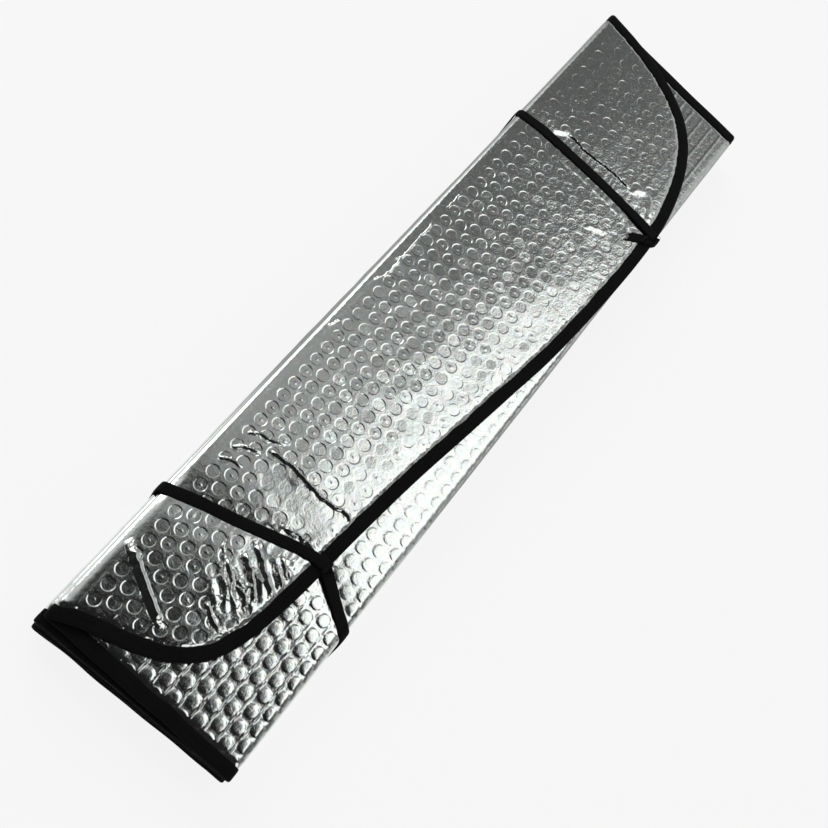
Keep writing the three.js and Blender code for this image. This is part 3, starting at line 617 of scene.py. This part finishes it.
# painted shade: this scales the film's colour down by up to 0.6 along the folds
fold_shaded_colour = nodes.new("ShaderNodeVectorMath")
fold_shaded_colour.operation = "SCALE"
links.new(tint.outputs["Vector"], fold_shaded_colour.inputs[0])
links.new(maths(film, "SUBTRACT", 1.0, maths(film, "MULTIPLY", fold_shade_and_scuff, 0.6)), fold_shaded_colour.inputs["Scale"])
links.new(fold_shaded_colour.outputs["Vector"], shader.inputs["Base Color"])
gloss = ramp(film, crinkle.outputs["Fac"], 0.3, 0.7, 0.11, 0.17)
links.new(maths(film, "ADD", gloss, maths(film, "MULTIPLY", fold_shade_and_scuff, 0.3)), shader.inputs["Roughness"])
bump = nodes.new("ShaderNodeBump")
bump.inputs["Strength"].default_value = 0.55
bump.inputs["Distance"].default_value = 0.00009
rougher = maths(film, "MAXIMUM", ramp(film, spread.outputs["Y"], 20, 150, 1.0, 2.6),
                ramp(film, spread.outputs["Y"], -230, -180, 1.15, 1.0))
links.new(maths(film, "MULTIPLY", crinkle.outputs["Fac"], rougher), bump.inputs["Height"])
links.new(bump.outputs["Normal"], shader.inputs["Normal"])
for i, (piece, (size, area)) in enumerate(foil_pieces):
    piece.data.materials.append(foil_look)

# Edge binding: a strip of black woven tape folded over the sheet's edge and sewn through, all
# the way round, so that every layer of the pack ends in the same soft black bead.
# Its section, as distances inward from its outer edge and heights over the sheet's middle
PROFILE = [
    (8.45, 0.84), (8.25, 1.02), (6.4, 1.08), (4.2, 1.11), (2.2, 1.10), (0.9, 1.02), (0.2, 0.72),
    (-0.02, 0.3), (-0.02, -0.3), (0.2, -0.72), (0.9, -1.02), (2.2, -1.10), (4.2, -1.11), (6.4, -1.08),
    (8.25, -1.02), (8.45, -0.84), (8.2, -0.72), (1.0, -0.66), (0.42, -0.4), (0.42, 0.4), (1.0, 0.66),
    (8.2, 0.72),
]
# Where the straps run under the bottom panel's free edge and lift it
CROSSINGS = (83.8, 484.4)
run = np.concatenate([[0], np.cumsum(np.linalg.norm(np.diff(LOOP, axis=0), axis=1))])
lift = np.zeros(len(LOOP))
first_low = len(top_edge[0]) - 2 + len(near_run[0])
low = slice(first_low, first_low + len(low_edge[0]) - 2)
for c in CROSSINGS:
    lift[low] = np.maximum(lift[low], 0.95 * smoothstep(12.9, 5.9, np.abs(LOOP[low, 1] - c)))
rows, lay = [], []
for k, (depth, n) in enumerate(PROFILE):
    side = 1 if n > 0 else -1
    loose = 0.32 * wave(run, run * 0, 17, 31 + side) * smoothstep(4, 8.4, depth)
    puff = 0.05 * wave(run, run * 0, 9, 41 + side) * (abs(n) > 0.9)
    at = LOOP + INWARD * (depth + loose - TAPE / 2)[:, None]
    p = folded(at[:, 0], at[:, 1], n + side * puff)
    p[:, 2] += lift
    rows.append(pressed(p))
    across_tape = (8.4 - depth) * side if k < 8 else -(8.4 - depth)
    lay.append(np.stack([run, np.full(len(run), across_tape)], axis=1))
count = len(LOOP)
faces = []
for k in range(len(PROFILE)):
    a, b = k * count, (k + 1) % len(PROFILE) * count
    faces += [(a + j, a + i, b + i, b + j) for i in range(count) for j in [(i + 1) % count]]
tape = make_piece("edge_tape", np.vstack(rows), faces, np.vstack(lay))
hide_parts("edge_binding")
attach(tape, "root")

# The weave of all three black cloths: threads across each other, their fuzz and slow wear
cloth = bpy.data.node_groups.new("woven_cloth", "ShaderNodeTree")
cloth.interface.new_socket("Vector", in_out="INPUT", socket_type="NodeSocketVector")
cloth.interface.new_socket("Threads", in_out="INPUT", socket_type="NodeSocketFloat")
cloth.interface.new_socket("Height", in_out="OUTPUT", socket_type="NodeSocketFloat")
cloth.interface.new_socket("Wear", in_out="OUTPUT", socket_type="NodeSocketFloat")
gn, gl = cloth.nodes, cloth.links
given, result = gn.new("NodeGroupInput"), gn.new("NodeGroupOutput")
parts = gn.new("ShaderNodeSeparateXYZ")
gl.new(given.outputs["Vector"], parts.inputs["Vector"])
warp = maths(cloth, "SINE", maths(cloth, "MULTIPLY", parts.outputs["X"], given.outputs["Threads"]))
weft = maths(cloth, "SINE", maths(cloth, "MULTIPLY", parts.outputs["Y"], given.outputs["Threads"]))
checks = maths(cloth, "MULTIPLY", warp, weft)
fuzz = gn.new("ShaderNodeTexNoise")
fuzz.inputs["Scale"].default_value = 1.7
fuzz.inputs["Detail"].default_value = 4
gl.new(given.outputs["Vector"], fuzz.inputs["Vector"])
wear = gn.new("ShaderNodeTexNoise")
wear.inputs["Scale"].default_value = 0.09
wear.inputs["Detail"].default_value = 3
gl.new(given.outputs["Vector"], wear.inputs["Vector"])
gl.new(maths(cloth, "ADD", checks, fuzz.outputs["Fac"]), result.inputs["Height"])
gl.new(wear.outputs["Fac"], result.inputs["Wear"])


def fabric(name, threads, dark, pale, rough, bump_size):
    """A woven black cloth whose weave follows the piece's own length and width."""
    look = bpy.data.materials.new(name)
    look.use_nodes = True
    tree = look.node_tree
    base = tree.nodes["Principled BSDF"]
    base.inputs["Roughness"].default_value = rough
    base.inputs["Sheen Weight"].default_value = 0.02
    base.inputs["Specular IOR Level"].default_value = 0.12
    lay_map = tree.nodes.new("ShaderNodeUVMap")
    weave = tree.nodes.new("ShaderNodeGroup")
    weave.node_tree = cloth
    weave.inputs["Threads"].default_value = threads
    tree.links.new(lay_map.outputs["UV"], weave.inputs["Vector"])
    colour = tree.nodes.new("ShaderNodeMix")
    colour.data_type = "RGBA"
    colour.inputs["A"].default_value = (*dark, 1)
    colour.inputs["B"].default_value = (*pale, 1)
    tree.links.new(weave.outputs["Wear"], colour.inputs["Factor"])
    tree.links.new(colour.outputs["Result"], base.inputs["Base Color"])
    relief_node = tree.nodes.new("ShaderNodeBump")
    relief_node.inputs["Strength"].default_value = 0.8
    relief_node.inputs["Distance"].default_value = bump_size
    tree.links.new(weave.outputs["Height"], relief_node.inputs["Height"])
    tree.links.new(relief_node.outputs["Normal"], base.inputs["Normal"])
    return look


tape_look = fabric("woven_tape", 7.5, (0.002, 0.002, 0.0022), (0.006, 0.006, 0.0065), 0.85, 0.00012)
tape.data.materials.append(tape_look)

# Straps: two lengths of narrow black elastic. Each starts on the top panel's free edge, goes
# down the right side, under the pack and up the left side, and comes back over the top to be
# sewn down on its own start. The far one's end stands out beside the seam, a little frayed.
STRAP, THICK, CLEAR = 7.0, 0.7, 0.3
LAP_GAP = 0.15  # between a strap's two lapped ends
# Each strap's route as shares of the panel's width and length: over the top, its other end, and
# where it turns down and under at the two sides
NEAR_STRAP = dict(
    top=[(0.0, 0.160), (0.152, 0.1692), (0.303, 0.1792), (0.4545, 0.190), (0.606, 0.200),
         (0.682, 0.2038), (0.765, 0.2052)],
    tail=[(0.700, 0.2085), (0.735, 0.2050), (0.770, 0.2005)],
    right_top=0.1710, right_bottom=0.1375, left_bottom=0.1570, left_top=0.1590,
)
FAR_STRAP = dict(
    top=[(0.0, 0.7808), (0.152, 0.7842), (0.303, 0.7850), (0.4545, 0.7850), (0.606, 0.7842),
         (0.758, 0.7825), (0.900, 0.7798), (0.980, 0.7768)],
    tail=[(0.868, 0.7535), (0.915, 0.7610), (0.962, 0.7680)],
    right_top=0.7740, right_bottom=0.8085, left_bottom=0.7767, left_top=0.7800,
)


def strap_path(strap):
    """The strap's middle line, the same route that its solid takes."""
    level = TOP + HALF + CLEAR + THICK / 2
    lapped, second = level + THICK + LAP_GAP, level - PITCH
    corner = REACH + CLEAR + THICK / 2
    right_top, right_bottom = strap["right_top"] * LENGTH, strap["right_bottom"] * LENGTH
    left_top, left_bottom = strap["left_top"] * LENGTH, strap["left_bottom"] * LENGTH
    tail = [(u * WIDTH, v * LENGTH) for u, v in strap["tail"]]
    path = [(x, y, level) for x, y in tail]
    at_side = tail[2][0] > 0.85 * WIDTH

    def drift(fold, y):
        return DRIFT[fold, 0] + (DRIFT[fold, 1] - DRIFT[fold, 0]) * y / LENGTH

    right = WIDTH + CLEAR + THICK / 2 + max(0, *(drift(f, right_top) for f in (2, 4, 6, 8)))
    left = -CLEAR - THICK / 2 + min(0, *(drift(f, left_top) for f in (1, 3, 5, 7, 9)))

    def arc(cx, cz, start, end, y0, y1):
        for i in range(5):
            a = math.radians(start + (end - start) * i / 4)
            path.append((cx + corner * math.cos(a), y0 + (y1 - y0) * i / 4, cz + corner * math.sin(a)))

    bend = (right_bottom - right_top) / 10
    floor_level, turn_level = THICK / 2, TOP - (PANELS - 2) * PITCH + RADIUS
    if at_side:
        brink = FREE_EDGE[:, 0].max() + TAPE / 2 + CLEAR
        path.append((brink + CLEAR, right_top, level))
        path.append((brink + 2 * THICK, right_top + bend / 2, level - THICK))
        path.append((brink + 2.6 * THICK, right_top + bend, level - 3 * THICK))
        path.append((right + 0.35, right_bottom - bend, turn_level))
        path.append((right - 2.05, right_bottom, floor_level))
    else:
        path.append((right - corner - 1, right_top + 1, second))
        arc(right - corner, second - corner, 90, 0, right_top, right_top + bend)
        arc(right - corner, turn_level, 0, -90, right_bottom - bend, right_bottom)
        path.append((0.74 * WIDTH, right_bottom + 0.26 * (left_bottom - right_bottom), floor_level))
    sink = math.asin((REACH - floor_level) / corner)
    path.append((left + corner - corner * math.cos(sink) + 1.2, left_bottom, floor_level))
    arc(left + corner, REACH, 180 + math.degrees(sink), 180, left_bottom, left_bottom + 1)
    arc(left + corner, level - corner, 180, 90, left_top - 1, left_top)
    rise = tail[0][0] - STRAP * 0.75
    before = (0, left_top)
    for u, v in strap["top"][1:]:
        x, y = u * WIDTH, v * LENGTH
        for px, pz in ((rise - STRAP, level), (rise, lapped)):
            if before[0] < px < x:
                path.append((px, before[1] + (y - before[1]) * (px - before[0]) / (x - before[0]), pz))
        path.append((x, y, lapped if x > rise else level))
        before = (x, y)
    return np.array(path)


def even(path, step):
    """The same line with points about every step along its straight parts."""
    rows = []
    for a, b in zip(path[:-1], path[1:]):
        count = max(1, round(np.linalg.norm(b - a) / step))
        rows += [a + (b - a) * i / count for i in range(count)]
    rows = np.array(rows + [path[-1]])
    for _ in range(2):
        rows[1:-1] = 0.25 * rows[:-2] + 0.5 * rows[1:-1] + 0.25 * rows[2:]
    return rows


def sweep(line, sideways, outward, outline):
    """A closed ribbon: the outline carried along the line, with both ends filled in."""
    count = len(outline)
    points = np.concatenate([at + np.outer(outline[:, 0], side) + np.outer(outline[:, 1], out)
                             for at, side, out in zip(line, sideways, outward)])
    faces = []
    for i in range(len(line) - 1):
        a, b = i * count, (i + 1) * count
        faces += [(a + k, a + (k + 1) % count, b + (k + 1) % count, b + k) for k in range(count)]
    faces += [tuple(range(count))[::-1], tuple(range(len(points) - count, len(points)))]
    return points, faces


def thread_tube(line, radius, sides=6):
    """A round thread along a line of points."""
    along = np.gradient(line, axis=0)
    along /= np.linalg.norm(along, axis=1)[:, None]
    up = np.tile((0.0, 0.0, 1.0), (len(line), 1))
    side = np.cross(up, along)
    side /= np.maximum(np.linalg.norm(side, axis=1), 1e-6)[:, None]
    a = np.arange(sides) * math.tau / sides
    outline = np.stack([np.cos(a), np.sin(a)], axis=1) * radius
    return sweep(line, side, np.cross(along, side), outline)


def elastic_strap(name, node, strap, seed):
    """One strap: a ribbed ribbon, a little uneven in width, with a fringe of cut threads at both ends."""
    line = even(strap_path(strap), 1.6)
    run = np.concatenate([[0], np.cumsum(np.linalg.norm(np.diff(line, axis=0), axis=1))])
    along = np.gradient(line, axis=0)
    along /= np.linalg.norm(along, axis=1)[:, None]
    level = np.hypot(along[:, 0], along[:, 2])
    outward = np.stack([-along[:, 2] / level, level * 0, along[:, 0] / level], axis=1)
    uneven = 1 + 0.03 * wave(run, run * 0, 23, seed) + 0.03 * wave(run, run * 0, 5, seed + 3)
    wide = 1 / level * uneven
    sideways = np.stack([level * 0, wide, level * 0], axis=1)
    fade_in, fade_out = smoothstep(0, 12, run), smoothstep(0, 12, run[-1] - run)
    line[:, 1] += 0.3 * wave(run, run * 0, 60, seed + 1) * fade_in * fade_out
    half, thin = STRAP / 2, THICK / 2
    outline = np.array([
        (-half, -thin * 0.3), (-half * 0.93, -thin), (-half * 0.4, -thin), (half * 0.4, -thin),
        (half * 0.93, -thin), (half, -thin * 0.3), (half, thin * 0.4), (half * 0.92, thin * 1.05),
        (half * 0.6, thin * 1.3), (half * 0.2, thin * 1.42), (-half * 0.2, thin * 1.42),
        (-half * 0.6, thin * 1.3), (-half * 0.92, thin * 1.05), (-half, thin * 0.4),
    ])
    points, faces = sweep(line, sideways, outward, outline)
    lay = np.stack([np.repeat(run, len(outline)), np.tile(outline[:, 0], len(run))], axis=1)
    rng = np.random.default_rng(seed)
    for end, back in ((0, -1), (-1, 1)):
        for _ in range(24):
            root = line[end] + sideways[end] * rng.uniform(-half, half)
            root = root + outward[end] * rng.uniform(-thin, thin)
            astray = rng.uniform(-0.5, 0.5), rng.uniform(-0.5, 0.5), rng.uniform(-0.1, 0.35)
            way = along[end] * back + astray
            long = rng.uniform(0.6, 3.2)
            tip = root + way * long
            middle = (root + tip) / 2 + rng.uniform(-0.3, 0.3, 3)
            tube, sides = thread_tube(np.array([root - way * 0.5, middle, tip]), 0.12)
            faces += [tuple(i + len(points) for i in f) for f in sides]
            points = np.vstack([points, tube])
            lay = np.vstack([lay, np.zeros((len(tube), 2))])
    piece = make_piece(name, pressed(points), faces, lay)
    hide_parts(node)
    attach(piece, "root")
    piece.data.materials.append(strap_look)


strap_look = fabric("ribbed_elastic", 9.0, (0.002, 0.002, 0.0022), (0.007, 0.007, 0.0075), 0.8, 0.00016)
elastic_strap("elastic_near", "strap_near", NEAR_STRAP, 51)
elastic_strap("elastic_far", "strap_far", FAR_STRAP, 57)

# Strap stitching: a dense zigzag of thick black thread, machine sewn through each strap's
# lapped ends and the tape under them.
thread_look = fabric("sewing_thread", 12.0, (0.004, 0.004, 0.0045), (0.011, 0.011, 0.012), 0.6, 0.00005)
TURNS, TURN_STEP, HALF_WIDE = 29, 0.24, 1.0
TACK_ANGLE = math.pi / 2.15
TACK_THREAD = 0.17  # its radius
for name, node, strap in (("stitching_near", "strap_tack_near", NEAR_STRAP),
                          ("stitching_far", "strap_tack_far", FAR_STRAP)):
    a, b = strap["tail"][1], strap["tail"][2]
    middle = np.array(((a[0] + b[0]) / 2 * WIDTH, (a[1] + b[1]) / 2 * LENGTH))
    height = TOP + HALF + 2 * CLEAR + 2 * THICK + LAP_GAP
    steps = np.arange(TURNS)
    local = np.stack([(steps - TURNS // 2) * TURN_STEP, np.where(steps % 2, HALF_WIDE, -HALF_WIDE)], axis=1)
    cos, sin = math.cos(TACK_ANGLE), math.sin(TACK_ANGLE)
    plan = local @ np.array(((cos, sin), (-sin, cos))) + middle
    zigzag = np.column_stack([plan, height + 0.05 * np.cos(steps * math.pi)])
    points, faces = thread_tube(even(zigzag, 0.35), TACK_THREAD)
    tack = make_piece(name, pressed(points), faces, np.zeros((len(points), 2)))
    tack.data.materials.append(thread_look)
    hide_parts(node)
    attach(tack, "root")

# Tape seam: one line of straight stitches in black thread, through both flanges of the tape and
# the sheet between them. It shows on the top and bottom panels and on those next to them.
STITCH, SEAM_IN, SEAM_THREAD = 3.4, 6.3, 0.15
points, faces = [], []
total = 0
holes = np.arange(0, run[-1], STITCH)
s, y = np.interp(holes, run, LOOP[:, 0]), np.interp(holes, run, LOOP[:, 1])
inward = np.stack([np.interp(holes, run, INWARD[:, k]) for k in (0, 1)], axis=1)
lifted = np.interp(holes, run, lift)
panel, x = plan_x(s)
for index, side in ((0, 1), (1, -1), (8, -1), (9, 1)):
    here = (panel == index) & (x > -1) & (x < WIDTH + 2)
    for k in np.nonzero(here)[0]:
        j = min(k + 1, len(s) - 1)
        if abs(s[j] - s[k]) + abs(y[j] - y[k]) > 8:
            continue
        t = np.linspace(0.06, 0.8, 6)[:, None]
        track = np.array((s[k], y[k])) * (1 - t) + np.array((s[j], y[j])) * t
        track = track + inward[k] * (SEAM_IN - TAPE / 2)
        rise = side * (1.06 + 0.16 * np.sin(np.linspace(0, math.pi, 6)))
        p = folded(track[:, 0], track[:, 1], rise)
        p[:, 2] += lifted[k]
        tube, sides = thread_tube(pressed(p), SEAM_THREAD, 5)
        points.append(tube)
        faces += [tuple(i + total for i in f) for f in sides]
        total += len(tube)
seam = make_piece("tape_seam", np.vstack(points), faces, np.zeros((total, 2)))
seam.data.materials.append(thread_look)
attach(seam, "root")

# Studio: a pale floor that runs out of view, a room that the bright film reflects, and two
# wide soft lamps, one over the far left and one over the near right.
floor_mesh = bpy.data.meshes.new("studio_floor")
floor_mesh.from_pydata([(-6, -6, 0), (6, -6, 0), (6, 6, 0), (-6, 6, 0)], [], [(0, 1, 2, 3)])
floor = bpy.data.objects.new("studio_floor", floor_mesh)
floor.location.z = -0.0004  # just under the pack, clear of its lowest faces
bpy.context.collection.objects.link(floor)
paper = bpy.data.materials.new("white_paper")
paper.use_nodes = True
tree = paper.node_tree
base = tree.nodes["Principled BSDF"]
base.inputs["Base Color"].default_value = (0.9, 0.9, 0.9, 1)
base.inputs["Roughness"].default_value = 0.9
glow = tree.nodes.new("ShaderNodeEmission")
ray = tree.nodes.new("ShaderNodeLightPath")
mix = tree.nodes.new("ShaderNodeMixShader")
seen = maths(tree, "MAXIMUM", ray.outputs["Is Camera Ray"], ray.outputs["Is Glossy Ray"])
seen = maths(tree, "MAXIMUM", seen, ray.outputs["Is Transmission Ray"])
tree.links.new(maths(tree, "MULTIPLY", seen, 0.86), mix.inputs["Fac"])
tree.links.new(base.outputs["BSDF"], mix.inputs[1])
tree.links.new(glow.outputs["Emission"], mix.inputs[2])
tree.links.new(mix.outputs["Shader"], tree.nodes["Material Output"].inputs["Surface"])
floor_mesh.materials.append(paper)

# The room as the film mirrors it: u and w are how far a direction leans to the right and away
world = bpy.data.worlds.new("studio")
bpy.context.scene.world = world
world.use_nodes = True
tree = world.node_tree
tree.nodes.clear()
sky = tree.nodes.new("ShaderNodeTexCoord")
parts = tree.nodes.new("ShaderNodeSeparateXYZ")
tree.links.new(sky.outputs["Generated"], parts.inputs["Vector"])
upward = maths(tree, "MAXIMUM", parts.outputs["Z"], 0.05)
u = maths(tree, "DIVIDE", parts.outputs["X"], upward)
w = maths(tree, "DIVIDE", parts.outputs["Y"], upward)
# its walls: grey and paler low down, a pale place at the left, and dark over the near end
x, y = parts.outputs["X"], parts.outputs["Y"]
left = maths(tree, "MULTIPLY", ramp(tree, x, -0.14, -0.3, 0, 0.55), ramp(tree, y, 0.28, 0.42, 1, 0))
left = maths(tree, "MULTIPLY", left, ramp(tree, y, 0.0, 0.12, 0, 1))
darker = ramp(tree, u, 0.04, 0.1, 0.0, -0.1)
near = ramp(tree, maths(tree, "ADD", w, darker), 0.25, 0.43, 0.01, 0.3)
far = ramp(tree, w, 0.5, 0.78, 1, 0.34)
side = ramp(tree, maths(tree, "ABSOLUTE", x), 0.3, 0.75, 0, 0.16)
side = maths(tree, "MULTIPLY", side, ramp(tree, y, -0.2, 0.3, 0.1, 1))
low = ramp(tree, parts.outputs["Z"], 0.6, 0.3, 0, 0.42)
far_side = maths(tree, "MULTIPLY", ramp(tree, u, 0.0, 0.4, 0, 0.34), ramp(tree, w, 0.85, 1.0, 0, 1))
room = maths(tree, "ADD", maths(tree, "MULTIPLY", near, far), maths(tree, "MAXIMUM", left, side))
room = maths(tree, "MAXIMUM", maths(tree, "ADD", room, far_side), low)
# the soft box: a wide white area over the right of the pack, with a slanting left border
border = maths(tree, "ADD", ramp(tree, w, 0.48, 0.72, 0.04, 0.082), ramp(tree, w, 0.7, 0.95, 0, 0.06))
box = ramp(tree, maths(tree, "SUBTRACT", u, border), -0.032, 0.032, 0, 1)
lowest = maths(tree, "SUBTRACT", 0.425, maths(tree, "MULTIPLY", u, 1.25))
box = maths(tree, "MULTIPLY", box, ramp(tree, maths(tree, "SUBTRACT", w, lowest), -0.02, 0.02, 0, 1))
box = maths(tree, "MULTIPLY", box, ramp(tree, w, 0.82, 0.98, 1, 0))
box = maths(tree, "MULTIPLY", box, ramp(tree, u, 0.3, 0.45, 1, 0))
level = maths(tree, "MAXIMUM", room, maths(tree, "MULTIPLY", box, 1.25))
back = tree.nodes.new("ShaderNodeBackground")
back.inputs["Color"].default_value = (1, 1, 1, 1)
tree.links.new(level, back.inputs["Strength"])
plain = tree.nodes.new("ShaderNodeBackground")
plain.inputs["Color"].default_value = (1, 1, 1, 1)
plain.inputs["Strength"].default_value = 1.0
ray = tree.nodes.new("ShaderNodeLightPath")
mix = tree.nodes.new("ShaderNodeMixShader")
out = tree.nodes.new("ShaderNodeOutputWorld")
tree.links.new(ray.outputs["Is Camera Ray"], mix.inputs["Fac"])
tree.links.new(back.outputs["Background"], mix.inputs[1])
tree.links.new(plain.outputs["Background"], mix.inputs[2])
tree.links.new(mix.outputs["Shader"], out.inputs["Surface"])

for name, spot, size, power in (("key", (-1.2, 0.9, 1.3), 1.6, 14), ("fill", (1.4, -1.1, 1.4), 1.8, 8)):
    lamp = bpy.data.lights.new(name, "AREA")
    lamp.shape = "DISK"
    lamp.size = size
    lamp.energy = power
    holder = bpy.data.objects.new(name, lamp)
    holder.location = spot
    holder.rotation_euler = (-Vector(spot)).to_track_quat("-Z", "Y").to_euler()
    bpy.context.collection.objects.link(holder)

bpy.context.scene.view_settings.view_transform = "Standard"
